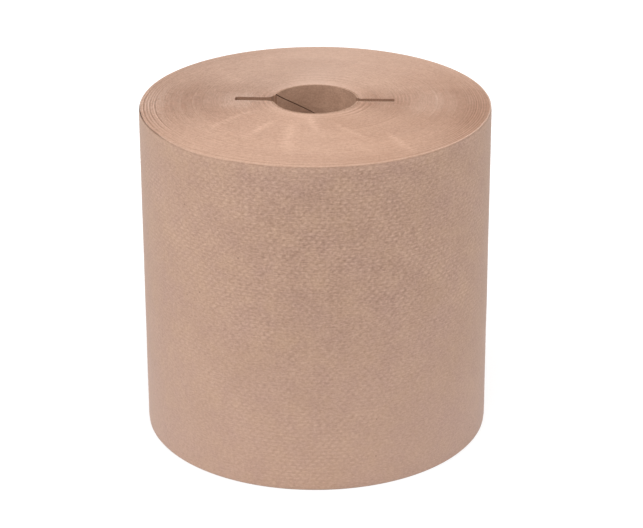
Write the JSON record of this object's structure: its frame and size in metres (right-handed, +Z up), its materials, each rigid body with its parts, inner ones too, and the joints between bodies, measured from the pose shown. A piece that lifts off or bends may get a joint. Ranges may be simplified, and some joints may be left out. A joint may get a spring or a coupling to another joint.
{
  "type": "paper towel roll",
  "caption": "Roll of natural kraft paper towel wound on a paperboard core tube, standing on end, with a straight notch across its top for a drive bar.",
  "frame": {"origin": "middle of the bottom face, on the axis of the core", "axes": "+Z up along the axis of the core, X along the notch, -Y towards the side that the picture shows"},
  "size_m": [0.2027, 0.2029, 0.2],
  "materials": {
    "core_board": "uncoated spirally wound paperboard",
    "kraft_towel": "uncoated embossed natural kraft paper"
  },
  "bodies": {
    "root": {"core_tube": "core_board", "towel_web": "kraft_towel"}
  },
  "joints": []
}
